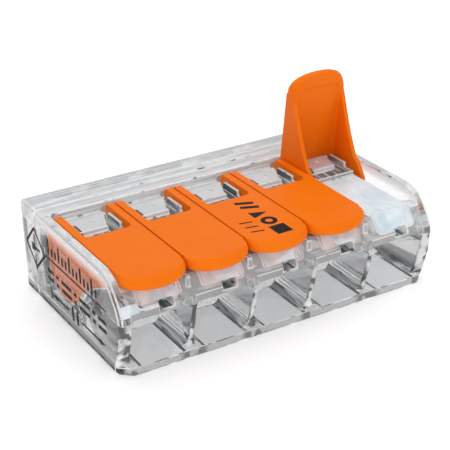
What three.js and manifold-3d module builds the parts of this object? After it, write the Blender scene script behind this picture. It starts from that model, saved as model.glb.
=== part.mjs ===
// Five-pole lever wire connector: a clear housing that takes five wires side by side, a snap-on
// rear cover, one busbar, and a leaf spring and a lever for each pole.
// Millimetres, +Z up. Wires enter at the front (-Y), poles run along X, lever 1 is at -X.
import * as THREE from 'three';
import { ConvexGeometry } from 'three/addons/geometries/ConvexGeometry.js';
import { mergeVertices } from 'three/addons/utils/BufferGeometryUtils.js';
import Module from 'manifold-3d';

const wasm = await Module();
wasm.setup();

// ---- Driving dimensions ------------------------------------------------------------------
// Side-view coordinates are (y, z), with y = 0 just behind the nose and z = 0 on the underside.
const POLES = 5;
const PITCH = 5.6;
const END_WALL = 0.95;
const WIDTH = POLES * PITCH + 2 * END_WALL;
const HEIGHT = 8.3;
const FRONT_Y = -0.42; // lever tips
const REAR_Y = 18.2; // back of the cover
const BODY_REAR_Y = 15.28; // joint between housing and cover
const JOINT_GAP = 0.05;
const SIDE_CHAMFER = { across: 0.35, along: 0.8 };

const FLOOR_Z = 0.95; // top of the base plate inside
const ROOF_Z = 6.9; // underside of the roof inside
const LEDGE_Z = 7.22; // roof of the wire entries, under the closed levers
const LEDGE_FRONT_Y = 1.4; // where the finger recess starts to slope down
const RECESS = { bottomY: 0.28, bottomZ: 5.82, halfWidth: 1.96, draft: 0.32 };
const CROSSBAR_Y = -0.08; // face of the bar above each wire entry
const POCKET_Z = 7.35; // floor of the pocket in each block
const CHAMBER_Y = 6.8; // front of the spring chamber
const CHAMBER_HALF_WIDTH = 1.95;
const BUSBAR_CHANNEL_Z = 2.0;

const PIVOT = { y: 10.8, z: 5.0 };
const LEVER_WIDTH = 5.44;
const ARM_WIDTH = 0.65; // of the arms beside the window
const WALL = 0.35; // of the side walls lower down
const PANEL_Z = 7.35; // underside of a closed lever's panel
const WINDOW_Y = 8.35; // front edge of the window between a lever's arms
const OPEN_ANGLE = 81;
const SWEEP_R = 4.2; // room the rear end of an arm needs round the pivot
const DISC_R = 2.9;
const CAM = { orbit: 2.0, angle: 275, r: 0.35, reach: 1.35 };

const LEAF = { width: 3.2, thickness: 0.35 };
const BEND = { y: 8.6, z: 5.9, r: 0.65 }; // centre line of the spring's bend
const CLAMP_SLOPE = -30; // closed angle of the clamping leg, degrees
const BASE_LEG_REAR_Y = 15.22;

const BUSBAR = { front: 7.4, rear: 14.95, z: 1.0, thickness: 0.8, halfLength: 13.1 };
const UPSTAND = { front: 14.2, top: 6.3, halfWidth: 1.9, windowHalf: 1.45, windowTop: 4.75 };

const CLEAR = { color: 0xdfe5e8, roughness: 0.06, metalness: 0 };
const ORANGE = { color: 0xf57a1e, roughness: 0.4, metalness: 0 };
const STEEL = { color: 0xb9bcc0, roughness: 0.28, metalness: 1 };
const TIN = { color: 0xc9c7bf, roughness: 0.38, metalness: 1 };

// ---- Solids ------------------------------------------------------------------------------
const rad = THREE.MathUtils.degToRad;
const poleX = (k) => (k - (POLES - 1) / 2) * PITCH;
const poles = [...Array(POLES).keys()];

function solid(geometry) {
  const plain = geometry.index ? geometry.toNonIndexed() : geometry.clone();
  plain.deleteAttribute('normal');
  plain.deleteAttribute('uv');
  const merged = mergeVertices(plain, 1e-5);
  return new wasm.Manifold(new wasm.Mesh({
    numProp: 3,
    vertProperties: new Float32Array(merged.attributes.position.array),
    triVerts: new Uint32Array(merged.index.array),
  }));
}

function shapeOf(points) {
  return new THREE.Shape(points.map(([u, v]) => new THREE.Vector2(u, v)));
}

function extrude(points, depth, options = {}) {
  return new THREE.ExtrudeGeometry(shapeOf(points), { depth, bevelEnabled: false, ...options });
}

// Prism with a (y, z) outline, from x0 to x1.
function prismX(points, x0, x1) {
  const basis = new THREE.Matrix4().makeBasis(
    new THREE.Vector3(0, 1, 0), new THREE.Vector3(0, 0, 1), new THREE.Vector3(1, 0, 0));
  return solid(extrude(points, x1 - x0).applyMatrix4(basis).translate(x0, 0, 0));
}

// Prism with an (x, z) outline, from y0 to y1.
function prismY(points, y0, y1) {
  return solid(extrude(points, y1 - y0).rotateX(Math.PI / 2).translate(0, y1, 0));
}

// Prism with an (x, y) outline, from z0 to z1.
function prismZ(points, z0, z1) {
  return solid(extrude(points, z1 - z0).translate(0, 0, z0));
}

function box(x0, x1, y0, y1, z0, z1) {
  const geometry = new THREE.BoxGeometry(x1 - x0, y1 - y0, z1 - z0);
  return solid(geometry.translate((x0 + x1) / 2, (y0 + y1) / 2, (z0 + z1) / 2));
}

function rodX(y, z, r, x0, x1, segments = 24) {
  const geometry = new THREE.CylinderGeometry(r, r, x1 - x0, segments).rotateZ(Math.PI / 2);
  return solid(geometry.translate((x0 + x1) / 2, y, z));
}

function arc(cy, cz, r, fromDeg, toDeg, steps) {
  return Array.from({ length: steps + 1 }, (_, i) => {
    const a = rad(fromDeg + ((toDeg - fromDeg) * i) / steps);
    return [cy + r * Math.cos(a), cz + r * Math.sin(a)];
  });
}

// Rounded (x, z) rectangle at one station y of a funnel.
function station({ y, halfWidth, bottom, top, lowR, highR }) {
  const corner = (x, z, r, from) =>
    arc(x, z, r, from, from + 90, 5).map(([px, pz]) => new THREE.Vector3(px, y, pz));
  return [
    ...corner(halfWidth - highR, top - highR, highR, 0),
    ...corner(-halfWidth + highR, top - highR, highR, 90),
    ...corner(-halfWidth + lowR, bottom + lowR, lowR, 180),
    ...corner(halfWidth - lowR, bottom + lowR, lowR, 270),
  ];
}

function funnel(a, b) {
  return solid(new ConvexGeometry([...station(a), ...station(b)]));
}

function union(solids) {
  return solids.reduce((sum, next) => sum.add(next));
}

function cut(body, cutters) {
  return cutters.reduce((rest, cutter) => rest.subtract(cutter), body);
}

const atPole = (body, k) => body.translate([poleX(k), 0, 0]);

function mesh(name, body, look) {
  const { vertProperties, triVerts } = body.getMesh();
  const geometry = new THREE.BufferGeometry();
  geometry.setAttribute('position', new THREE.BufferAttribute(new Float32Array(vertProperties), 3));
  geometry.setIndex(new THREE.BufferAttribute(new Uint32Array(triVerts), 1));
  geometry.computeVertexNormals();
  const result = new THREE.Mesh(geometry, new THREE.MeshStandardMaterial(look));
  result.name = name;
  return result;
}

// ---- Outer shell shared by housing and cover ------------------------------------------------
// Flat top and underside, a front that slopes down to a rounded nose, chamfered end walls.
function outerBlock() {
  const profile = [
    [0.12, 0], [REAR_Y, 0], [REAR_Y, HEIGHT], [3.0, HEIGHT], [1.69, 7.9], [0.84, 6.97],
    [0.27, 6.21], [-0.17, 5.39], [-0.22, 4.85], [-0.14, 4.2],
  ];
  const { across, along } = SIDE_CHAMFER;
  const geometry = new THREE.ExtrudeGeometry(shapeOf(profile), {
    depth: WIDTH - 2 * across,
    bevelEnabled: true,
    bevelThickness: across,
    bevelSize: along,
    bevelOffset: -along,
    bevelSegments: 2,
  });
  geometry.translate(0, 0, across - WIDTH / 2);
  geometry.applyMatrix4(new THREE.Matrix4().makeBasis(
    new THREE.Vector3(0, 1, 0), new THREE.Vector3(0, 0, 1), new THREE.Vector3(1, 0, 0)));
  return solid(geometry);
}

// ---- Lever outlines, shared with the slots that the levers move in ---------------------------
// Lower edge of a closed lever's side walls, from the tip to the disc round the pivot.
const WALL_EDGE = [
  [1.55, 7.42], [2.1, 7.12], [3.0, 6.68], [4.2, 6.1], [5.42, 5.42], [6.2, 4.92], [7.05, 4.35],
  [7.6, 3.5], [8.4, 2.76], [9.5, 2.28],
];

function wallOutline() {
  return [
    ...WALL_EDGE, ...arc(PIVOT.y, PIVOT.z, DISC_R, 270, 385, 14),
    [13.47, 7.6], [13.4, 8.05], [13.1, HEIGHT], [1.55, HEIGHT],
  ];
}

// Everything the side walls of a lever pass through between closed and open.
function leverSlot() {
  const clearance = [
    [0.9, 7.04], [1.9, 7.04], [2.85, 6.6], [4.1, 6.0], [5.3, 5.33], [6.93, 4.24], [7.45, 3.4],
    [8.3, 2.6], [9.47, 2.15],
  ];
  return [
    ...clearance,
    ...arc(PIVOT.y, PIVOT.z, DISC_R + 0.12, 270, 322, 8),
    ...arc(PIVOT.y, PIVOT.z, SWEEP_R, 324, 411, 14),
    [13.6, HEIGHT + 1], [0.9, HEIGHT + 1],
  ];
}

// ---- Housing -----------------------------------------------------------------------------
function housing() {
  const innerX = WIDTH / 2 - END_WALL;
  const frontCut = [
    [-1, 0.8], [0.8, 0.8], [0.74, 1.3], [0.42, 2.1], [0.08, 3.1], [-0.1, 4.1], [-0.22, 4.85], [-1, 4.85],
  ];
  const cornerFacet = (side) => solid(new ConvexGeometry([
    [-0.1, 1.35, 0], [1.5, -0.1, 0], [-0.1, -0.1, 3.4], [-2, -2, 3.4], [-2, 1.35, -1], [1.5, -2, -1],
    [-2, 1.35, 0], [1.5, -2, 0], [-0.1, 1.35, -1], [1.5, -0.1, -1],
  ].map(([x, y, z]) => new THREE.Vector3(side * (x - WIDTH / 2), y, z))));

  const wireEntry = union([
    funnel(
      { y: -0.8, halfWidth: 2.64, bottom: 0.74, top: 4.93, lowR: 0.8, highR: 0.35 },
      { y: 5.25, halfWidth: 2.44, bottom: 0.83, top: 4.96, lowR: 0.66, highR: 0.35 }),
    funnel(
      { y: 5.2, halfWidth: 2.44, bottom: 0.83, top: 4.96, lowR: 0.66, highR: 0.35 },
      { y: CHAMBER_Y + 0.05, halfWidth: 1.6, bottom: 1.85, top: 5.1, lowR: 1.2, highR: 1.0 }),
  ]);

  const recessAt = (y, z) => {
    const w = RECESS.halfWidth;
    return [[w - 0.34, z], [w - 0.1, z + 0.1], [w, z + 0.34], [w + RECESS.draft, z + 1.4]]
      .flatMap(([x, height]) => [new THREE.Vector3(x, y, height), new THREE.Vector3(-x, y, height)]);
  };
  const fingerRecess = solid(new ConvexGeometry([
    ...recessAt(-0.8, RECESS.bottomZ), ...recessAt(RECESS.bottomY, RECESS.bottomZ),
    ...recessAt(LEDGE_FRONT_Y, LEDGE_Z),
  ]));

  // Steps in the clear block that shows between a closed lever's arms.
  const blockSteps = prismX([
    [0, LEDGE_Z], [8.75, LEDGE_Z], [8.8, 7.6], [9.95, 7.62], [10.0, 8.02], [12.25, 8.02],
    [12.4, 7.5], [13.85, 7.5], [13.85, HEIGHT + 1], [0, HEIGHT + 1],
  ], -CHAMBER_HALF_WIDTH - 0.01, CHAMBER_HALF_WIDTH + 0.01);
  // Pocket in the block; a thin wall stays between it and the lever's arm.
  const sidePocket = prismZ([
    [0.68, 10.3], [0.78, 9.5], [1.25, 9.2], [1.68, 9.1], [1.68, 12.45], [1.35, 12.1],
  ], POCKET_Z, HEIGHT + 1);

  const chamber = prismX([
    [CHAMBER_Y, 1.3], [7.3, FLOOR_Z], [BODY_REAR_Y + 1, FLOOR_Z], [BODY_REAR_Y + 1, ROOF_Z],
    [7.4, ROOF_Z], [CHAMBER_Y, 6.3],
  ], -CHAMBER_HALF_WIDTH, CHAMBER_HALF_WIDTH);

  const crossbarFace = box(-2.6, 2.6, -1, CROSSBAR_Y, 4.8, 6.3);
  const testSlot = box(-0.15, 1.1, -1, 1.2, 5.24, 5.88);
  const gateMark = solid(new THREE.CylinderGeometry(0.3, 0.22, 0.3, 16)
    .rotateX(Math.PI / 2).translate(-0.2, 11.3, 8.05));

  const slots = [...Array(POLES + 1).keys()].map((i) => {
    const rib = (i - POLES / 2) * PITCH;
    const reach = PITCH / 2 - CHAMBER_HALF_WIDTH + 0.01; // just into the chambers on both sides
    const left = i === 0 ? -innerX : rib - reach;
    const right = i === POLES ? innerX : rib + reach;
    return prismX(leverSlot(), left, right);
  });

  const perPole = [
    wireEntry, fingerRecess, blockSteps, sidePocket, chamber, crossbarFace, testSlot, gateMark,
  ];
  const block = cut(outerBlock(), [
    box(-WIDTH, WIDTH, BODY_REAR_Y, REAR_Y + 1, -1, HEIGHT + 1),
    prismX(frontCut, -WIDTH, WIDTH),
    cornerFacet(1), cornerFacet(-1),
    ...poles.flatMap((k) => perPole.map((cutter) => atPole(cutter, k))),
    ...slots,
    // open lever's panel edge drops into this groove
    box(-innerX, innerX, 12.4, 13.85, 7.5, HEIGHT + 1),
    // busbar channel, then the open back of the chamber
    box(-innerX, innerX, 7.3, BODY_REAR_Y + 1, FLOOR_Z, BUSBAR_CHANNEL_Z),
    box(-innerX, innerX, PIVOT.y + 0.1, BODY_REAR_Y + 1, FLOOR_Z, ROOF_Z),
  ]);

  // Each divider carries a lug under the gap between two levers, and a rounded foot.
  const onDividers = poles.slice(1).flatMap((k) => {
    const rib = poleX(k) - PITCH / 2;
    return [
      box(rib - 0.5, rib - 0.02, 0.3, 0.95, 5.8, 7.1),
      solid(new THREE.SphereGeometry(0.4, 14, 9).translate(rib, 0.85, 0.85)),
    ];
  });
  const bosses = poles.map((k) => solid(
    new THREE.CylinderGeometry(0.3, 0.3, 0.6, 16).translate(poleX(k) + 2.1, 0.05, 5.34)));
  return union([block, ...onDividers, ...bosses]);
}

// ---- Rear cover --------------------------------------------------------------------------
function rearCover() {
  const wall = 0.9;
  const innerX = WIDTH / 2 - END_WALL;
  const front = BODY_REAR_Y + JOINT_GAP;
  const back = REAR_Y - wall;
  const shell = cut(outerBlock(), [
    box(-WIDTH, WIDTH, -1, front, -1, HEIGHT + 1),
    prismX([
      [front - 1, FLOOR_Z], [back - 0.5, FLOOR_Z], [back, FLOOR_Z + 0.5], [back, 6.9],
      [back - 0.5, 7.4], [front - 1, 7.4],
    ], -innerX, innerX),
  ]);
  const partitions = poles.slice(1).map((k) => {
    const rib = poleX(k) - PITCH / 2;
    return prismX([
      [front, FLOOR_Z - 0.1], [back + 0.1, FLOOR_Z - 0.1], [back + 0.1, 7.5], [front, 7.5],
    ], rib - 0.4, rib + 0.4);
  });
  const tongues = [-1, 1].map((side) => {
    const outline = [
      [14.5, 1.05], [14.65, FLOOR_Z + 0.03], [front + 0.6, FLOOR_Z + 0.03], [front + 0.6, 2.35],
      [14.65, 2.35], [14.5, 2.2],
    ];
    const [near, far] = [side * 13.2, side * (innerX + 0.02)].sort((a, b) => a - b);
    const blade = prismX(outline, near, far);
    return side < 0
      ? blade.subtract(box(-WIDTH, -innerX + 0.04, 0, front, 0, 9))
      : blade.subtract(box(innerX - 0.04, WIDTH, 0, front, 0, 9));
  });
  const wireStops = poles.map((k) => atPole(box(-0.5, 0.5, back - 0.6, back + 0.1, 1.9, 4.4), k));
  return union([shell, ...partitions, ...tongues, ...wireStops]);
}

// ---- Busbar ------------------------------------------------------------------------------
// A tinned copper strip under all poles, with a windowed upstand behind each that the wire
// end passes through and the spring's base leg hooks over.
function busbar() {
  const { front, rear, z, thickness, halfLength } = BUSBAR;
  const top = z + thickness;
  const strip = prismZ([
    [-halfLength + 0.3, front], [halfLength - 0.3, front], [halfLength, front + 0.3],
    [halfLength, 14.2], [-halfLength, 14.2], [-halfLength, front + 0.3],
  ], z, top);
  const ridges = poles.map((k) => atPole(
    prismX([[11.9, top - 0.1], [12.75, top - 0.1], [12.5, top + 0.08], [12.15, top + 0.08]], -1.5, 1.5), k));
  const upstand = cut(
    prismY([
      [-UPSTAND.halfWidth, z], [UPSTAND.halfWidth, z], [UPSTAND.halfWidth, UPSTAND.top - 0.3],
      [UPSTAND.halfWidth - 0.3, UPSTAND.top], [0.3 - UPSTAND.halfWidth, UPSTAND.top],
      [-UPSTAND.halfWidth, UPSTAND.top - 0.3],
    ], UPSTAND.front, rear),
    [prismY([
      [-UPSTAND.windowHalf, top], [UPSTAND.windowHalf, top],
      [UPSTAND.windowHalf, UPSTAND.windowTop - 0.5], [UPSTAND.windowHalf - 0.5, UPSTAND.windowTop],
      [0.5 - UPSTAND.windowHalf, UPSTAND.windowTop], [-UPSTAND.windowHalf, UPSTAND.windowTop - 0.5],
    ], UPSTAND.front - 1, rear + 1)]);
  return union([strip, ...ridges, ...poles.map((k) => atPole(upstand, k))]);
}

// ---- Leaf spring -------------------------------------------------------------------------
// Outline of a leaf that follows a (y, z) centre line.
function leafOutline(line) {
  const half = LEAF.thickness / 2;
  const side = (sign) => line.map(([y, z], i) => {
    const [y0, z0] = line[Math.max(i - 1, 0)];
    const [y1, z1] = line[Math.min(i + 1, line.length - 1)];
    const length = Math.hypot(y1 - y0, z1 - z0);
    return [y + (sign * half * (z1 - z0)) / length, z - (sign * half * (y1 - y0)) / length];
  });
  return [...side(1), ...side(-1).reverse()];
}

const CLAMP_START = CLAMP_SLOPE - 90 + 360;

function springBase() {
  const line = [
    [BASE_LEG_REAR_Y + 0.02, 5.75], [BASE_LEG_REAR_Y, 6.1], ...arc(BASE_LEG_REAR_Y - 0.25, 6.3, 0.25, 0, 90, 4),
    [14.2, BEND.z + BEND.r], [11.5, BEND.z + BEND.r + 0.02],
    ...arc(BEND.y, BEND.z, BEND.r, 90, CLAMP_START - 28, 12),
  ];
  return prismX(leafOutline(line), -LEAF.width / 2, LEAF.width / 2);
}

function clampLine() {
  const along = (point, angle, length) =>
    [point[0] + length * Math.cos(rad(angle)), point[1] + length * Math.sin(rad(angle))];
  const [start] = arc(BEND.y, BEND.z, BEND.r, CLAMP_START, CLAMP_START, 1);
  const knee = along(start, CLAMP_SLOPE, 4.2);
  return [start, along(start, CLAMP_SLOPE, 2), knee, along(knee, CLAMP_SLOPE - 14, 0.4),
    along(along(knee, CLAMP_SLOPE - 14, 0.4), CLAMP_SLOPE - 25, 0.9)];
}

function clampLeg() {
  const half = LEAF.width / 2;
  const tip = prismZ([
    [-half, 5], [half, 5], [half, 12.0], [half - 0.35, 13], [0.35 - half, 13], [-half, 12.0],
  ], 0, 9);
  return prismX(leafOutline(clampLine()), -half, half).intersect(tip);
}

// ---- Lever -------------------------------------------------------------------------------
// The tip is rounded in plan and in section: one outline for each height, from top to underside.
const TIP_LEVELS = [
  { z: HEIGHT, halfWidth: 2.6, front: 0.16, depth: 1.4, power: 2.4 },
  { z: 8.2, halfWidth: 2.7, front: -0.02, depth: 1.45, power: 2.4 },
  { z: 7.95, halfWidth: 2.72, front: -0.23, depth: 1.5, power: 2.4 },
  { z: 7.65, halfWidth: 2.72, front: -0.38, depth: 1.65, power: 2.3 },
  { z: 7.42, halfWidth: 2.71, front: FRONT_Y, depth: 1.95, power: 2.2 },
  { z: 7.28, halfWidth: 2.69, front: -0.34, depth: 2.1, power: 2.1 },
  { z: 7.22, halfWidth: 2.6, front: -0.2, depth: 2.1, power: 2.1 },
];

function tip() {
  const backY = 3;
  return solid(new ConvexGeometry(TIP_LEVELS.flatMap(({ z, halfWidth, front, depth, power }) => {
    const steps = 9;
    const edge = Array.from({ length: steps + 1 }, (_, i) => {
      const across = Math.sin((Math.PI / 2) * (i / steps));
      return [halfWidth * across, front + depth * (1 - (1 - across ** power) ** (1 / power))];
    });
    return [...edge, [halfWidth, backY]].flatMap(([x, y]) =>
      [new THREE.Vector3(x, y, z), new THREE.Vector3(-x, y, z)]);
  })));
}

// Hollow under the panel: round front corners, a fillet under the panel, then thin side walls.
function hollow() {
  const half = LEVER_WIDTH / 2;
  const levels = [
    { z: PANEL_Z, halfWidth: half - 0.74, front: 1.02 },
    { z: PANEL_Z - 0.05, halfWidth: half - 0.6, front: 0.92 },
    { z: PANEL_Z - 0.2, halfWidth: half - 0.45, front: 0.84 },
    { z: PANEL_Z - 0.5, halfWidth: half - WALL - 0.02, front: 0.8 },
    { z: 1, halfWidth: half - WALL, front: 0.8 },
  ];
  const corner = 0.55;
  return solid(new ConvexGeometry(levels.flatMap(({ z, halfWidth, front }) => [
    ...arc(halfWidth - corner, front + corner, corner, 270, 360, 4), [halfWidth, 15],
  ].flatMap(([x, y]) => [new THREE.Vector3(x, y, z), new THREE.Vector3(-x, y, z)]))));
}

function lever() {
  const half = LEVER_WIDTH / 2;
  const inner = half - ARM_WIDTH;
  const body = union([tip(), prismX(wallOutline(), -half, half)]);
  const corner = 0.55;
  const window = prismZ([
    [inner, 15], [-inner, 15],
    ...arc(-inner + corner, WINDOW_Y + corner, corner, 180, 270, 5),
    ...arc(inner - corner, WINDOW_Y + corner, corner, 270, 360, 5),
  ], PANEL_Z - 1.5, 9);
  const a = rad(CAM.angle);
  const cams = [-1, 1].map((side) => {
    const [near, far] = [side * CAM.reach, side * (half - WALL + 0.1)].sort((p, q) => p - q);
    return rodX(PIVOT.y + CAM.orbit * Math.cos(a), PIVOT.z + CAM.orbit * Math.sin(a), CAM.r, near, far, 20);
  });
  return union([cut(body, [hollow(), window]), ...cams]);
}

// ---- Assembly ----------------------------------------------------------------------------
// The origin is the middle of the footprint on the underside.
const connector = new THREE.Group();
connector.position.y = -(FRONT_Y + REAR_Y) / 2;

connector.add(mesh('housing', housing(), CLEAR));
connector.add(mesh('rear_cover', rearCover(), CLEAR));
connector.add(mesh('busbar', busbar(), TIN));

const springBaseSolid = springBase();
const clampLegSolid = clampLeg().translate([0, -BEND.y, -BEND.z]);
const leverSolid = lever().translate([0, -PIVOT.y, -PIVOT.z]);
const CLAMP_LIFT = 0.3; // degrees the clamping leg lifts for each degree of its lever

for (const k of poles) {
  const opened = k === POLES - 1 ? OPEN_ANGLE : 0; // the last lever stands open

  const base = mesh(`spring_base_${k + 1}`, springBaseSolid, STEEL);
  base.position.x = poleX(k);
  connector.add(base);

  const leg = mesh(`clamp_leg_${k + 1}`, clampLegSolid, STEEL);
  leg.position.set(poleX(k), BEND.y, BEND.z);
  leg.rotation.x = rad(CLAMP_LIFT * opened);
  connector.add(leg);

  const handle = mesh(`lever_${k + 1}`, leverSolid, ORANGE);
  handle.position.set(poleX(k), PIVOT.y, PIVOT.z);
  handle.rotation.x = -rad(opened);
  connector.add(handle);
}

export default connector;
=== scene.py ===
"""Looks of the lever wire connector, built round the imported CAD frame. Metres, +Z up."""

import math

import bmesh
import bpy
from mathutils import Matrix, Vector


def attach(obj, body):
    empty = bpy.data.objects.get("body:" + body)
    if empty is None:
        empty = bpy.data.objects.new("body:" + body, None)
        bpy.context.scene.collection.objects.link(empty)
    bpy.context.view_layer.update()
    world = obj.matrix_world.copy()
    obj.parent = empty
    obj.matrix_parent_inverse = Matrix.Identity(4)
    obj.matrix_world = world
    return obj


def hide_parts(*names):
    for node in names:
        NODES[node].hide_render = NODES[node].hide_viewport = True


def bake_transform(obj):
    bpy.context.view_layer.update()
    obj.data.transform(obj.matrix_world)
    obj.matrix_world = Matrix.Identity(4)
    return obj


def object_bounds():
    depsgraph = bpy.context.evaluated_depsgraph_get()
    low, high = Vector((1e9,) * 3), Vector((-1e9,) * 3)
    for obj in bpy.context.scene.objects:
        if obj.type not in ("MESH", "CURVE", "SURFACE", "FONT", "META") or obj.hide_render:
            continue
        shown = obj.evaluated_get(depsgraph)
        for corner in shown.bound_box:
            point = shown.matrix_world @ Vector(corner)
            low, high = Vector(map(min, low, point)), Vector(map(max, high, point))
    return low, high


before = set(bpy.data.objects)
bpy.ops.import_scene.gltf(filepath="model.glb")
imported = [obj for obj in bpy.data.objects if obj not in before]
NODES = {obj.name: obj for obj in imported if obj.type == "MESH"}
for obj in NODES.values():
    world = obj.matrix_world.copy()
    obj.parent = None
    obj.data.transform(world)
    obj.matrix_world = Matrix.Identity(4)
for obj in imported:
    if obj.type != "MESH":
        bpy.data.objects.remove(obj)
CAD_BOX = [list(c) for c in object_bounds()]
MM = 0.001

POLES = 5
OPEN_POLE = 4  # poles count from 0 at the left
PRINTED_POLE = 2
PITCH = 5.6 * MM
Y_SHIFT = -8.89 * MM  # side-view y = 0 in the part's own frame
LEFT_X = CAD_BOX[0][0]  # outer face of the left end wall
LEVER_TOP = 8.301 * MM  # just above the top of a closed lever
PRINT = 0.01 * MM  # thickness of printed ink


def pole_x(k):
    return (k - (POLES - 1) / 2) * PITCH


def mesh_from(bm, name):
    data = bpy.data.meshes.new(name)
    bm.to_mesh(data)
    bm.free()
    return data


def add_object(name, data):
    thing = bpy.data.objects.new(name, data)
    bpy.context.scene.collection.objects.link(thing)
    return thing


# ---- Camera ---------------------------------------------------------------------------------
# A long lens, from the left of the front and a little above.
CAMERA_TURN = (-30.554, 26.765, -1.224)  # azimuth, elevation and roll in degrees
CAMERA_AIM = Vector((0, 0.11, 4.0)) * MM
CAMERA_DISTANCE = 108.23  # millimetres, like the next two
SENSOR, LENS = 36, 101.16
LENS_SHIFT = (-0.0044, 0.0381)


def make_camera():
    az, el, roll = (math.radians(a) for a in CAMERA_TURN)
    back = Vector((math.sin(az) * math.cos(el), -math.cos(az) * math.cos(el), math.sin(el)))
    right = Vector((math.cos(az), math.sin(az), 0))
    up = back.cross(right)
    right, up = (
        right * math.cos(roll) + up * math.sin(roll),
        up * math.cos(roll) - right * math.sin(roll),
    )
    data = bpy.data.cameras.new("camera")
    data.sensor_width = SENSOR
    data.lens = LENS
    data.shift_x, data.shift_y = LENS_SHIFT
    data.clip_start, data.clip_end = 0.002, 20
    camera = add_object("camera", data)
    turn = Matrix((right, up, back)).transposed().to_4x4()
    camera.matrix_world = Matrix.Translation(CAMERA_AIM + back * CAMERA_DISTANCE * MM) @ turn
    bpy.context.scene.camera = camera


# ---- Node graphs ----------------------------------------------------------------------------
def set_inputs(node, values):
    """Constant values for sockets, by name."""
    for name, value in values.items():
        node.inputs[name].default_value = value


def border(limit, soft, start):
    """Both ends of a soft border in metres; limit and soft are millimetres, past start."""
    middle = limit * MM + start
    return middle - soft * MM / 2, middle + soft * MM / 2


class Graph:
    """Short hand for adding linked nodes to a material or a world."""

    def __init__(self, owner):
        self.nt = owner.node_tree

    def node(self, kind, **settings):
        n = self.nt.nodes.new(kind)
        for key, value in settings.items():
            setattr(n, key, value)
        return n

    def link(self, a, b):
        self.nt.links.new(a, b)

    def math(self, operation, a, b=None):
        n = self.node("ShaderNodeMath", operation=operation)
        for socket, value in zip(n.inputs, (a, b)):
            if isinstance(value, (int, float)):
                socket.default_value = value
            elif value is not None:
                self.link(value, socket)
        return n.outputs[0]

    def noise(self, scale, detail, stretch=(1, 1, 1)):
        coord = self.node("ShaderNodeTexCoord")
        place = self.node("ShaderNodeMapping")
        tex = self.node("ShaderNodeTexNoise")
        set_inputs(place, {"Scale": stretch})
        set_inputs(tex, {"Scale": scale, "Detail": detail})
        self.link(coord.outputs["Object"], place.inputs[0])
        self.link(place.outputs[0], tex.inputs["Vector"])
        return tex.outputs["Fac"]

    def axis(self, name, space="Object"):
        split = self.node("ShaderNodeSeparateXYZ")
        self.link(self.node("ShaderNodeTexCoord").outputs[space], split.inputs[0])
        return split.outputs[name]

    def spread(self, value, low, high, from_low=0.3, from_high=0.7):
        """low to high while the value goes from from_low to from_high, constant past both."""
        n = self.node("ShaderNodeMapRange")
        set_inputs(n, {"From Min": from_low, "From Max": from_high, "To Min": low, "To Max": high})
        self.link(value, n.inputs["Value"])
        return n.outputs["Result"]

    def above(self, value, limit, soft, start=0.0):
        """1 above a limit, 0 below it, over a soft border; in millimetres past start."""
        return self.spread(value, 0, 1, *border(limit, soft, start))

    def below(self, value, limit, soft, start=0.0):
        return self.spread(value, 1, 0, *border(limit, soft, start))

    def zone(self, value, low, high, soft, start=0.0):
        """1 between two limits, 0 outside."""
        return self.all_of(
            self.above(value, low, soft, start), self.below(value, high, soft, start))

    def all_of(self, first, *others):
        for other in others:
            first = self.math("MULTIPLY", first, other)
        return first

    def any_of(self, first, *others):
        for other in others:
            first = self.math("MAXIMUM", first, other)
        return first

    def greys(self, value, stops):
        """Grey ramp over a value; each stop is (position, grey)."""
        ramp = self.node("ShaderNodeValToRGB")
        elements = ramp.color_ramp.elements
        elements[0].position, elements[1].position = 0.0, 1.0
        for position, _ in stops[1:-1]:
            elements.new(position)
        for element, (position, grey) in zip(elements, stops):
            element.position = position
            element.color = (grey, grey, grey, 1)
        self.link(value, ramp.inputs[0])
        return ramp.outputs[0]

    def mixed(self, factor, a, b):
        """Colour from a to b."""
        n = self.node("ShaderNodeMix", data_type="RGBA")
        set_inputs(n, {"A": (*a, 1), "B": (*b, 1)})
        self.link(factor, n.inputs["Factor"])
        return n.outputs["Result"]

    def product(self):
        """A node that multiplies the colours A and B."""
        n = self.node("ShaderNodeMix", data_type="RGBA", blend_type="MULTIPLY")
        set_inputs(n, {"Factor": 1.0})
        return n

    def bump(self, height, distance, strength, below=None):
        n = self.node("ShaderNodeBump")
        set_inputs(n, {"Distance": distance, "Strength": strength})
        self.link(height, n.inputs["Height"])
        if below is not None:
            self.link(below, n.inputs["Normal"])
        return n.outputs["Normal"]


# ---- Stage ----------------------------------------------------------------------------------
# Greys of the world: from the horizon to the zenith, and from the middle out to either side.
SKY = ((0.0, 0.85), (0.3, 0.9), (0.55, 1.0), (0.8, 0.9), (1.0, 0.85))
CARDS = ((0.0, 1.0), (0.8, 1.0), (0.84, 0.12), (0.95, 0.12), (0.97, 0.9), (1.0, 0.9))
CARD_SIDE = (0.861, -0.508, 0.0)  # the camera's right, level
SKY_STRENGTH = 0.68
LIGHTS = (  # name, position, aim, size, power
    ("softbox_top", (0.05, 0.05, 0.4), (0, 0, 0), (0.5, 0.5), 0.74),
    ("softbox_front", (-0.15, -0.4, 0.2), (0, 0, 0.004), (0.4, 0.25), 0.2),
    ("strip_left", (-0.42, -0.05, 0.2), (0, 0, 0.004), (0.06, 0.4), 0.22),
    ("strip_right", (0.3, -0.35, 0.25), (0, 0, 0.004), (0.06, 0.4), 0.22),
)


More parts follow.
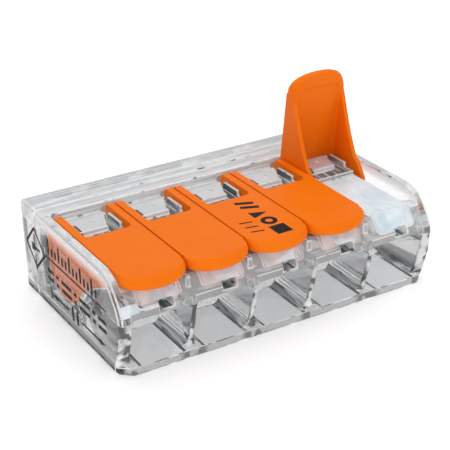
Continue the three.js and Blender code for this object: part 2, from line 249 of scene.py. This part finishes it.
def make_world():
    """A white cyclorama with a dark card on either side, for dark lines in the clear parts."""
    world = bpy.data.worlds.new("studio")
    world.use_nodes = True
    g = Graph(world)
    side = g.node("ShaderNodeVectorMath", operation="DOT_PRODUCT")
    side.inputs[1].default_value = CARD_SIDE
    g.link(g.node("ShaderNodeTexCoord").outputs["Generated"], side.inputs[0])
    both = g.product()
    g.link(g.greys(g.axis("Z", "Generated"), SKY), both.inputs["A"])
    g.link(g.greys(g.math("ABSOLUTE", side.outputs["Value"]), CARDS), both.inputs["B"])
    background = world.node_tree.nodes["Background"]
    g.link(both.outputs["Result"], background.inputs["Color"])
    set_inputs(background, {"Strength": SKY_STRENGTH})
    bpy.context.scene.world = world


def area_light(name, position, aim, size, power):
    data = bpy.data.lights.new(name, "AREA")
    data.shape = "RECTANGLE"
    data.size, data.size_y = size
    data.energy = power
    light = add_object(name, data)
    light.location = position
    light.rotation_mode = "QUATERNION"
    light.rotation_quaternion = (Vector(aim) - Vector(position)).to_track_quat("-Z", "Y")


def make_stage():
    bm = bmesh.new()
    bmesh.ops.create_grid(bm, x_segments=1, y_segments=1, size=2)
    floor = add_object("floor", mesh_from(bm, "floor"))
    material, shader, _ = new_material("floor_paper")
    set_inputs(shader, {
        "Base Color": (0.8, 0.8, 0.8, 1), "Roughness": 0.9,
        "Emission Color": (1, 1, 1, 1), "Emission Strength": 0.35})
    floor.data.materials.append(material)
    for light in LIGHTS:
        area_light(*light)


# ---- Materials ------------------------------------------------------------------------------
CLEAR_IOR = 1.58
FAINT_IOR = 1.22  # of the end walls beside the outer levers


def new_material(name):
    material = bpy.data.materials.new(name)
    material.use_nodes = True
    return material, material.node_tree.nodes["Principled BSDF"], Graph(material)


def let_light_through(g, shader, tint):
    """Tinted instead of full shadow, so what lies under a clear piece stays lit."""
    clear = g.node("ShaderNodeBsdfTransparent")
    set_inputs(clear, {"Color": (*tint, 1)})
    mix = g.node("ShaderNodeMixShader")
    g.link(g.node("ShaderNodeLightPath").outputs["Is Shadow Ray"], mix.inputs[0])
    g.link(shader.outputs[0], mix.inputs[1])
    g.link(clear.outputs[0], mix.inputs[2])
    g.link(mix.outputs[0], g.nt.nodes["Material Output"].inputs["Surface"])


def clear_plastic():
    """Clear polycarbonate: painted shade makes it greyer low down, over the entries and low on the
    end walls; milkier on top and over the entries, clearest in the end walls beside the outer
    levers, with a painted shadow line in the gap beside each block."""
    material, shader, g = new_material("clear_polycarbonate")
    x, y, z = (g.axis(a) for a in "XYZ")
    off_centre = g.math("ABSOLUTE", x)
    across = g.math("MODULO", g.math("ADD", x, 10.5 * PITCH), PITCH)
    from_pole = g.math("SUBTRACT", across, PITCH / 2)

    # The outline of a lever, seen through the end wall: its side panel, and the disc at its pivot.
    beside_panel = g.all_of(g.zone(y, 2.4, 13.6, 0.8, Y_SHIFT), g.zone(z, 4.4, 7.4, 0.6))
    beside_disc = g.all_of(g.zone(y, 6.6, 13.6, 0.8, Y_SHIFT), g.zone(z, 1.6, 5.2, 0.6))
    beside_lever = g.all_of(g.above(off_centre, 13.9, 0.1), g.any_of(beside_panel, beside_disc))

    # Painted shade low on the end walls: a darker band along the foot and below a sloping line.
    end_wall = g.above(off_centre, 14.3, 0.1)
    wall_foot = g.all_of(end_wall, g.zone(z, 0.03, 1.2, 0.1))
    rising = g.math("ADD", z, g.math("MULTIPLY", y, 0.08))
    wall_base = g.all_of(end_wall, g.below(rising, 1.45, 0.2))

    # Painted shadow: a dark line in the gap between each block and the lever arm beside it.
    gap_shadow_line = g.all_of(
        g.zone(from_pole, -1.82, -1.6, 0.04), g.zone(y, 9.0, 11.4, 0.2, Y_SHIFT),
        g.zone(z, 7.5, 8.15, 0.05))
    # Painted shade over the entries under the lever tips, and along the foot, with darker painted
    # streaks near the dividers.
    over_entry = g.all_of(
        g.zone(z, 4.7, 7.1, 0.1), g.below(y, 1.6, 0.2, Y_SHIFT), g.below(off_centre, 14, 0.1))
    foot = g.zone(z, 0.03, 0.72, 0.02)
    foot_streaks = g.all_of(
        foot, g.above(g.math("ABSOLUTE", from_pole), 1.7, 0.5),
        g.spread(g.noise(1100, 2, (1, 1, 0.5)), 0, 1, 0.43, 0.49))

    behind_joint = g.all_of(g.above(y, 12.9, 0.05, Y_SHIFT), g.above(z, 7.0, 0.1))
    joint_grain = g.noise(3400, 3, (0.03, 1, 1))
    joint_streaks = g.all_of(
        behind_joint,
        g.spread(joint_grain, 0, 1, 0.51, 0.55), g.spread(joint_grain, 1, 0, 0.6, 0.64))

    # Painted shade: the base grey darkens towards the bottom.
    shade = g.spread(z, 0.57, 0.92, 0.6 * MM, 6.5 * MM)
    shade = g.any_of(shade, g.math("MULTIPLY", beside_lever, 0.9))
    # Each mask darkens the base grey: painted shade over the entries, along the foot and low on the
    # end walls, a painted shadow line in the gap beside each block, and fine lines behind the
    # joint.
    for mask, factor in (
            (over_entry, 0.62), (foot, 0.5), (foot_streaks, 0.3), (wall_base, 0.62),
            (wall_foot, 0.75), (joint_streaks, 0.7), (gap_shadow_line, 0.04)):
        shade = g.math("MULTIPLY", shade, g.spread(mask, 1, factor, 0, 1))
    tint = g.product()
    set_inputs(tint, {"B": (0.985, 1.0, 1.015, 1)})
    g.link(shade, tint.inputs["A"])
    g.link(tint.outputs["Result"], shader.inputs["Base Color"])

    milky = g.spread(z, 0.08, 0.55, 7.0 * MM, 7.9 * MM)
    milky = g.math("MULTIPLY", milky, g.math("SUBTRACT", 1.0, beside_lever))
    for mask, share in (
            (over_entry, 0.55), (wall_base, 0.7), (wall_foot, 0.85), (foot_streaks, 0.5),
            (behind_joint, 0.55), (gap_shadow_line, 0.8)):
        milky = g.any_of(milky, g.math("MULTIPLY", mask, share))
    g.link(g.math("SUBTRACT", 1.0, milky), shader.inputs["Transmission Weight"])

    set_inputs(shader, {"IOR": CLEAR_IOR})
    g.link(g.spread(beside_lever, CLEAR_IOR, FAINT_IOR, 0, 1), shader.inputs["IOR"])
    dull = g.any_of(
        wall_foot, g.math("MULTIPLY", wall_base, 0.7), g.math("MULTIPLY", beside_lever, 0.85))
    g.link(g.spread(dull, 0.5, 0.0, 0, 1), shader.inputs["Specular IOR Level"])
    g.link(g.spread(g.noise(900, 4), 0.0, 0.04), shader.inputs["Roughness"])
    g.link(g.bump(g.noise(420, 2), 0.03 * MM, 0.3), shader.inputs["Normal"])
    let_light_through(g, shader, (0.97, 0.975, 0.98))
    return material


def painted_sky_reflection():
    """Finger recesses and ledges under the levers: they mirror the sky, so they look pale; the pale
    bluish patches and the faint glow are a painted reflection of the sky.
    """
    material, shader, g = new_material("recess_painted_reflection")
    # Painted sky reflection: pale bluish patches, with a faint glow.
    patches = g.spread(g.noise(900, 3, (1, 0.3, 1)), 0, 1, 0.35, 0.6)
    g.link(g.mixed(patches, (0.55, 0.67, 0.75), (0.78, 0.85, 0.88)), shader.inputs["Base Color"])
    set_inputs(shader, {
        "Roughness": 0.08, "Transmission Weight": 0.06,
        "Emission Color": (0.88, 0.95, 1.0, 1), "Emission Strength": 0.06})
    let_light_through(g, shader, (0.8, 0.8, 0.8))
    return material


def painted_edge_lines(name, tones, scale):
    """Rounded edges of the clear parts gather light, so they read as broken white and dark lines,
    brighter high up and darker along the foot; all of this is painted highlight and painted shade
    in the colour."""
    material, shader, g = new_material(name)
    z = g.axis("Z")
    # Painted light by height: lighter high up, painted shade along the foot.
    brighter = g.math(
        "ADD", g.spread(z, 0, 0.12, 4.9 * MM, 5.6 * MM), g.spread(z, -0.1, 0, 0.25 * MM, 0.6 * MM))
    g.link(g.greys(g.math("ADD", g.noise(scale, 2), brighter), tones), shader.inputs["Base Color"])
    set_inputs(shader, {"Roughness": 0.12, "IOR": CLEAR_IOR, "Transmission Weight": 0.35})
    let_light_through(g, shader, (0.9, 0.9, 0.9))
    return material


def painted_shade_streaks(name, dark, light, tones):
    """Small faces that show only streaks running front to back, from dark to light: painted shade
    with painted light streaks.
    """
    material, shader, g = new_material(name)
    streaks = g.greys(g.noise(2600, 2, (1, 0.06, 0.4)), tones)
    g.link(g.mixed(streaks, dark, light), shader.inputs["Base Color"])
    set_inputs(shader, {"Roughness": 0.15, "Transmission Weight": 0.15})
    let_light_through(g, shader, (0.7, 0.7, 0.7))
    return material


def orange_plastic():
    material, shader, g = new_material("orange_plastic")
    patches = g.spread(g.noise(260, 3), 0, 1)
    g.link(g.mixed(patches, (0.95, 0.192, 0.004), (0.92, 0.176, 0.003)),
           shader.inputs["Base Color"])
    g.link(g.spread(g.noise(1500, 4), 0.32, 0.45), shader.inputs["Roughness"])
    grain = g.bump(g.noise(9000, 2), 0.006 * MM, 0.35)
    g.link(g.bump(g.noise(300, 2), 0.02 * MM, 0.15, grain), shader.inputs["Normal"])
    set_inputs(shader, {
        "Specular IOR Level": 0.08, "Subsurface Weight": 0.06,
        "Subsurface Radius": (0.6, 0.2, 0.05), "Subsurface Scale": 0.6 * MM})
    return material


def metal(name, colour, rough, scratch_along):
    material, shader, g = new_material(name)
    set_inputs(shader, {"Base Color": (*colour, 1), "Metallic": 1.0})
    lines = g.noise(2500, 5, scratch_along)
    g.link(g.spread(lines, rough - 0.07, rough + 0.12), shader.inputs["Roughness"])
    g.link(g.bump(lines, 0.004 * MM, 0.5), shader.inputs["Normal"])
    return material


def ink():
    material, shader, g = new_material("printed_ink")
    set_inputs(shader, {"Base Color": (0.008, 0.008, 0.009, 1), "Specular IOR Level": 0.15})
    g.link(g.spread(g.noise(3000, 3), 0.4, 0.7), shader.inputs["Roughness"])
    return material


# ---- Moulded pieces -------------------------------------------------------------------------
# Looks of the faces of a clear piece, in the order of CLEAR_SET: plain, painted highlights,
# painted dark lines, painted shade in pockets, painted sky reflection, painted shade in fillets.
CLEAR_FACE, GLINT_FACE, DARK_LINE_FACE, POCKET_SHADE_FACE, SKY_REFLECTION_FACE, FILLET_SHADE_FACE = range(6)
FOOT_CENTRE = (2.8, 0.85, 0.85)  # of a divider's round foot, as local() says it
FOOT_SHELL = (0.3, 0.45)  # distances from there that are on its surface, millimetres
SMOOTH_DEG = 28  # faces that meet at less than this are one surface
LEVER_SMOOTH_DEG = 48
SHALLOW_DEG = 9  # edges of the finger recesses are rounded from this angle up
CLEAR_RADIUS, LEVER_RADIUS, BUSBAR_RADIUS = 0.12 * MM, 0.09 * MM, 0.04 * MM
ROOM_SHARE = 0.3  # of the room on the faces beside an edge, the most that its rounding takes
SHALLOW_SHARE = 0.8  # of the full radius, the most at the edges of a finger recess
SAME_POINT = 0.5e-6  # vertices closer than this are one, metres
FLAT_DEG = 0.6  # triangles within this angle are one flat face


def near_pole(x):
    """Distance past the centre of the nearest pole, in millimetres."""
    k = min(range(POLES), key=lambda i: abs(x - pole_x(i)))
    return (x - pole_x(k)) / MM


def local(co):
    """Distance past the nearest pole, side-view y and height of a point, in millimetres."""
    return near_pole(co.x), (co.y - Y_SHIFT) / MM, co.z / MM


def in_recess(co):
    x, y, z = local(co)
    return abs(x) < 2.5 and -0.1 < y < 1.7 and 5.75 < z < 7.35


def soften(data, edge, smooth_deg):
    """Marks the sharp edges for rounding, with a smaller radius beside narrow faces."""
    bm = bmesh.new()
    bm.from_mesh(data)
    weight = bm.edges.layers.float.new("bevel_weight_edge")
    for e in bm.edges:
        shallow = all(in_recess(v.co) for v in e.verts)
        sharp = math.radians(SHALLOW_DEG if shallow else smooth_deg)
        if len(e.link_faces) != 2 or e.calc_face_angle(0) < sharp:
            continue
        a, b = (v.co for v in e.verts)
        along = b - a
        room = edge * 4  # more than the full radius needs
        for f in e.link_faces:
            for v in f.verts:
                if v in e.verts:
                    continue
                t = max(0.0, min(1.0, (v.co - a).dot(along) / max(along.length_squared, 1e-18)))
                room = min(room, (v.co - (a + along * t)).length)
        e[weight] = min(SHALLOW_SHARE if shallow else 1.0, ROOM_SHARE * room / edge)
    bm.to_mesh(data)
    bm.free()


def face_look(centre, normal):
    """The look of one face of a clear piece, found by its place and direction."""
    x, y, z = local(centre)
    off = abs(x)
    inward = -normal.x * math.copysign(1, x)
    on_foot = FOOT_SHELL[0] < math.dist((off, y, z), FOOT_CENTRE) < FOOT_SHELL[1]
    on_fillet = 1.5 < off < 2.75 and z < 1.4 and y < 6 and 0.12 < inward < 0.985
    on_divider = off > 2.6 and y < 0.9 and 0.8 < z < 5
    on_ledge = 7.1 < z < 7.3
    in_test_slot = -0.2 < x < 1.15 and -0.07 < y < 1.25 and 5.2 < z < 5.9
    in_block_pocket = 0.6 < x < 1.72 and 9.0 < y < 12.5 and 7.3 < z < 8.0
    # Painted highlights on the divider feet and fronts and one side of the test slot; painted dark
    # lines and shade on the fillets; a painted sky reflection in the recesses and on the ledges;
    # painted shade in the test slot and in the pocket beside each block.
    if on_foot and normal.y < 0.3:
        return GLINT_FACE
    if on_fillet and normal.z > 0.1:
        return DARK_LINE_FACE if inward < 0.45 or inward > 0.9 else FILLET_SHADE_FACE
    if on_divider and normal.y < -0.5:
        return GLINT_FACE
    if off < 2.3 and (in_recess(centre) and normal.z > 0.3 or on_ledge and normal.z > 0.9):
        return SKY_REFLECTION_FACE
    if in_test_slot:
        return GLINT_FACE if normal.x < -0.5 else POCKET_SHADE_FACE
    return POCKET_SHADE_FACE if in_block_pocket else CLEAR_FACE


def remade(node, name, body, materials, edge, smooth_deg=SMOOTH_DEG):
    """A copy of a CAD node with clean faces and rounded edges, shown in its place."""
    bm = bmesh.new()
    bm.from_mesh(NODES[node].data)
    bmesh.ops.remove_doubles(bm, verts=bm.verts, dist=SAME_POINT)
    bmesh.ops.dissolve_limit(
        bm, angle_limit=math.radians(FLAT_DEG), verts=bm.verts, edges=bm.edges,
        delimit={"NORMAL"})
    bmesh.ops.recalc_face_normals(bm, faces=bm.faces)
    for v in bm.verts:
        v.co.x = max(v.co.x, LEFT_X + PRINT)  # leaves room for the ink inside the CAD box
    data = mesh_from(bm, name)
    data.shade_smooth()
    data.set_sharp_from_angle(angle=math.radians(smooth_deg))
    for material in materials:
        data.materials.append(material)
    piece = add_object(name, data)
    bevel = piece.modifiers.new("edges", "BEVEL")
    bevel.width = edge
    bevel.segments = 2
    if materials is CLEAR_SET:
        for face in data.polygons:
            face.material_index = face_look(face.center, face.normal)
        soften(data, edge, smooth_deg)
        # The rounded edges of the clear pieces get the painted edge highlights.
        bevel.material = GLINT_FACE
        bevel.limit_method = "WEIGHT"
        bevel.use_clamp_overlap = False
    else:
        bevel.limit_method = "ANGLE"
        bevel.angle_limit = math.radians(smooth_deg)
        bevel.use_clamp_overlap = True
        flat = piece.modifiers.new("flat_faces", "WEIGHTED_NORMAL")
        flat.keep_sharp = True
    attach(piece, body)
    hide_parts(node)


# ---- Leaf springs ---------------------------------------------------------------------------
BEND = (8.6, 5.9, 0.65)  # side-view centre and radius of the spring's bend, millimetres
BEND_STEPS = 18
LEAF_HALF = (1.6, 0.175)  # half width, half thickness
LEAF_SOFT = 0.07  # how far its long edges are cut off
LEAF_CREASE_DEG = 40
OPEN_LIFT = 24.3  # degrees that the open lever lifts its clamping leg
# Stretches of the clamping leg: length in millimetres, extra slope in degrees.
LEG = ((1.4, 0), (1.4, 0), (1.4, 0), (0.4, -14), (0.3, -25), (0.35, -25), (0.2, -25))
TIP_NARROWING = (0.34, 0.12, 0.03)  # on either side of the last sections, from the tip back
END_NARROWING, END_THICKNESS = 0.05, 0.55  # of the first and last section


def leaf_line(lift):
    """Centre line of one leaf in side view, from the hook over the upstand to the clamping edge."""
    cy, cz, r = BEND
    top = cz + r
    line = [(15.24, 5.75), (15.22, 6.1)]
    for deg in range(0, 91, 15):
        a = math.radians(deg)
        line.append((14.97 + 0.25 * math.cos(a), 6.3 + 0.25 * math.sin(a)))
    line += [(14.2, top), (12.8, top + 0.01), (11.5, top + 0.02), (10.0, top + 0.01)]
    last = 240 - lift  # where the bend ends and the leg begins, in degrees
    for i in range(BEND_STEPS + 1):
        a = math.radians(90 + (last - 90) * i / BEND_STEPS)
        line.append((cy + r * math.cos(a), cz + r * math.sin(a)))
    slope = math.radians(-30 + lift)
    for length, extra in LEG:
        a = slope + math.radians(extra)
        y, z = line[-1]
        line.append((y + length * math.cos(a), z + length * math.sin(a)))
    return line


def leaf_spring(k):
    line = [Vector((y, z)) for y, z in leaf_line(OPEN_LIFT if k == OPEN_POLE else 0)]
    w, t = LEAF_HALF
    w_in, t_in = w - LEAF_SOFT, t - LEAF_SOFT
    section = [(w, t_in), (w_in, t), (-w_in, t), (-w, t_in),
               (-w, -t_in), (-w_in, -t), (w_in, -t), (w, -t_in)]
    bm = bmesh.new()
    rings = []
    for i, point in enumerate(line):
        along = (line[min(i + 1, len(line) - 1)] - line[max(i - 1, 0)]).normalized()
        across = Vector((-along.y, along.x))
        from_tip = len(line) - 1 - i
        narrow = TIP_NARROWING[from_tip] if from_tip < len(TIP_NARROWING) else 0
        thin = 1
        if i in (0, len(line) - 1):
            narrow += END_NARROWING
            thin = END_THICKNESS
        verts = []
        for x, depth in section:
            x -= math.copysign(narrow, x)
            side = point + across * depth * thin
            verts.append(bm.verts.new((pole_x(k) + x * MM, side.x * MM + Y_SHIFT, side.y * MM)))
        rings.append(verts)
    for a, b in zip(rings, rings[1:]):
        for i in range(len(section)):
            j = (i + 1) % len(section)
            bm.faces.new((a[i], a[j], b[j], b[i]))
    bm.faces.new(rings[0])
    bm.faces.new(rings[-1][::-1])
    bmesh.ops.recalc_face_normals(bm, faces=bm.faces)
    data = mesh_from(bm, f"leaf_{k + 1}")
    data.shade_smooth()
    data.set_sharp_from_angle(angle=math.radians(LEAF_CREASE_DEG))
    data.materials.append(STEEL)
    leaf = add_object(f"leaf_spring_{k + 1}", data)
    x = pole_x(k)
    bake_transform(leaf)
    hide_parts(f"spring_base_{k + 1}", f"clamp_leg_{k + 1}")


# ---- Printed marks --------------------------------------------------------------------------
# All marks are plain shapes: outlines as lists of (u, v) corners in millimetres.
STROKE = 0.25
ARROW_LENGTH, ARROW_HALF = 0.95, 0.26
RING_STEPS = 20
TICKS, TICK_STEP = 14, 0.68
# Start and length of each dash in a row.
DASHES = ((12.9, 1.2), (11.2, 0.5), (10.2, 1.9), (7.8, 0.5), (6.8, 1.9), (4.4, 0.5), (3.4, 1.4))
DASH_ROWS = (3.3, 4.05)
GAUGE_Z = 1.95


def bar(a, b, width=STROKE):
    """A straight stroke from a to b."""
    a, b = Vector(a), Vector(b)
    side = (b - a).normalized().orthogonal() * width / 2
    return [[a + side, a - side, b - side, b + side]]


def path(points, width=STROKE):
    return [stroke for a, b in zip(points, points[1:]) for stroke in bar(a, b, width)]


def ring(u, v, radius, width):
    turns = [2 * math.pi * i / RING_STEPS for i in range(RING_STEPS + 1)]
    outer, inner = (
        [Vector((u + r * math.cos(a), v + r * math.sin(a))) for a in turns]
        for r in (radius, radius - width))
    return [[outer[i], outer[i + 1], inner[i + 1], inner[i]] for i in range(RING_STEPS)]


def head(u, v, way):
    """A solid arrow head with its point at (u, v)."""
    back = u - way * ARROW_LENGTH
    return [[Vector((u, v)), Vector((back, v + ARROW_HALF)), Vector((back, v - ARROW_HALF))]]


def printed(name, outlines, place, body, lift):
    """Thin ink slabs; place maps (u, v) to the surface, lift is the vector through the ink."""
    bm = bmesh.new()
    for outline in outlines:
        low = [bm.verts.new(place(*p)) for p in outline]
        high = [bm.verts.new(v.co + lift) for v in low]
        bm.faces.new(low)
        bm.faces.new(high[::-1])
        for i in range(len(low)):
            j = (i + 1) % len(low)
            bm.faces.new((low[j], low[i], high[i], high[j]))
    bmesh.ops.recalc_face_normals(bm, faces=bm.faces)
    data = mesh_from(bm, name)
    data.materials.append(INK)
    marks = add_object(name, data)
    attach(marks, body)


def wall_marks():
    """Left end wall: a diamond round a wire pictogram, a rule, scale ticks, two rows of dashes
    and a strip-length gauge; u runs to the back, v up."""
    diamond = path([(15.2, 6.82), (13.3, 5.0), (15.2, 3.18), (17.0, 5.0), (15.2, 6.82)])
    wire = [*bar((15.9, 5.0), (15.2, 5.0), 0.7), *bar((15.2, 5.0), (14.3, 5.0), 0.2)]
    rule = path([(13.3, 5.0), (12.9, 5.2), (1.9, 5.25)], 0.16)
    ticks, dashes = [], []
    for i in range(TICKS):
        u = 12.4 - TICK_STEP * i
        ticks += bar((u, 5.65), (u, 7.0 if i % 3 == 0 else 6.35), 0.34)
    for start, length in DASHES:
        for z in DASH_ROWS:
            dashes += bar((start, z), (start - length, z), 0.34)
    gauge = [
        *bar((12.4, 1.45), (12.4, 2.6)),
        *head(12.3, GAUGE_Z, 1), *bar((11.5, GAUGE_Z), (9.1, GAUGE_Z), 0.18),
        *bar((8.3, 1.3), (8.3, 2.6), 0.34), *bar((7.4, 1.3), (7.4, 2.6), 0.34),
        *bar((6.6, GAUGE_Z), (3.2, GAUGE_Z), 0.18), *head(2.4, GAUGE_Z, -1)]

    def on_wall(u, v):
        return Vector((LEFT_X + PRINT, u * MM + Y_SHIFT, v * MM))

    printed("end_wall_print", [*diamond, *wire, *rule, *ticks, *dashes, *gauge], on_wall,
            "body", Vector((-PRINT, 0, 0)))


def lever_marks():
    """Middle lever: a bold row of plain shapes with three thin strokes on its left; u runs to
    the back, v to the right."""
    low, high = -0.2, 1.25
    mid = (low + high) / 2
    triangle = [Vector((5.2, low)), Vector((4.1, low)), Vector((4.65, high))]
    bold = [*bar((7.3, low), (6.7, high), 0.42), *bar((6.4, low), (5.8, high), 0.42),
            triangle, *ring(3.15, mid, 0.7, 0.38), *bar((2.15, mid), (0.65, mid), 1.4)]
    thin = [stroke for u in (3.9, 3.0, 2.1)
            for stroke in bar((u, -1.85), (u - 0.25, -0.75), 0.16)]

    def on_lever(u, v):
        return Vector((v * MM + pole_x(PRINTED_POLE), u * MM + Y_SHIFT, LEVER_TOP))

    printed("lever_print", [*bold, *thin], on_lever, f"lever_{PRINTED_POLE + 1}",
            Vector((0, 0, PRINT)))


# ---- The scene ------------------------------------------------------------------------------
make_camera()
make_world()
make_stage()

# Painted edge highlights and painted dark lines for the clear parts.
EDGE_GLINTS = painted_edge_lines(
    "painted_edge_glints", ((0.0, 0.05), (0.42, 0.1), (0.47, 0.6), (0.55, 0.95), (1.0, 1.0)), 900)
DARK_LINES = painted_edge_lines(
    "painted_dark_lines", ((0.0, 0.03), (0.5, 0.08), (0.6, 0.3), (0.72, 0.7), (1.0, 0.9)), 700)
# Painted shade with light streaks, in the pockets and in the fillets of the entry floors.
POCKET_SHADE = painted_shade_streaks(
    "pocket_painted_shade", (0.055, 0.08, 0.08), (0.75, 0.78, 0.8),
    ((0.0, 0.0), (0.52, 0.12), (0.6, 0.85), (0.66, 0.3), (1.0, 1.0)))
FILLET_SHADE = painted_shade_streaks(
    "fillet_painted_shade", (0.05, 0.06, 0.06), (0.72, 0.75, 0.77),
    ((0.0, 0.3), (0.4, 0.55), (0.46, 0.08), (0.5, 0.75), (0.56, 1.0), (0.6, 0.4), (1.0, 0.9)))
CLEAR_SET = (clear_plastic(), EDGE_GLINTS, DARK_LINES, POCKET_SHADE, painted_sky_reflection(), FILLET_SHADE)
ORANGE = orange_plastic()
STEEL = metal("spring_steel", (0.6, 0.61, 0.62), 0.24, (1, 0.05, 1))
INK = ink()
TIN = metal("tin_plate", (0.66, 0.65, 0.62), 0.36, (0.05, 1, 1))

remade("housing", "clear_housing", "body", CLEAR_SET, CLEAR_RADIUS)
remade("rear_cover", "clear_cover", "body", CLEAR_SET, CLEAR_RADIUS)
remade("busbar", "busbar_strip", "body", (TIN,), BUSBAR_RADIUS)
for k in range(POLES):
    remade(f"lever_{k + 1}", f"orange_lever_{k + 1}", f"lever_{k + 1}",
           (ORANGE,), LEVER_RADIUS, LEVER_SMOOTH_DEG)
    leaf_spring(k)

wall_marks()
lever_marks()

scene = bpy.context.scene
scene.view_settings.view_transform = "Standard"
scene.cycles.max_bounces = 24
scene.cycles.transmission_bounces = 20
scene.cycles.transparent_max_bounces = 24
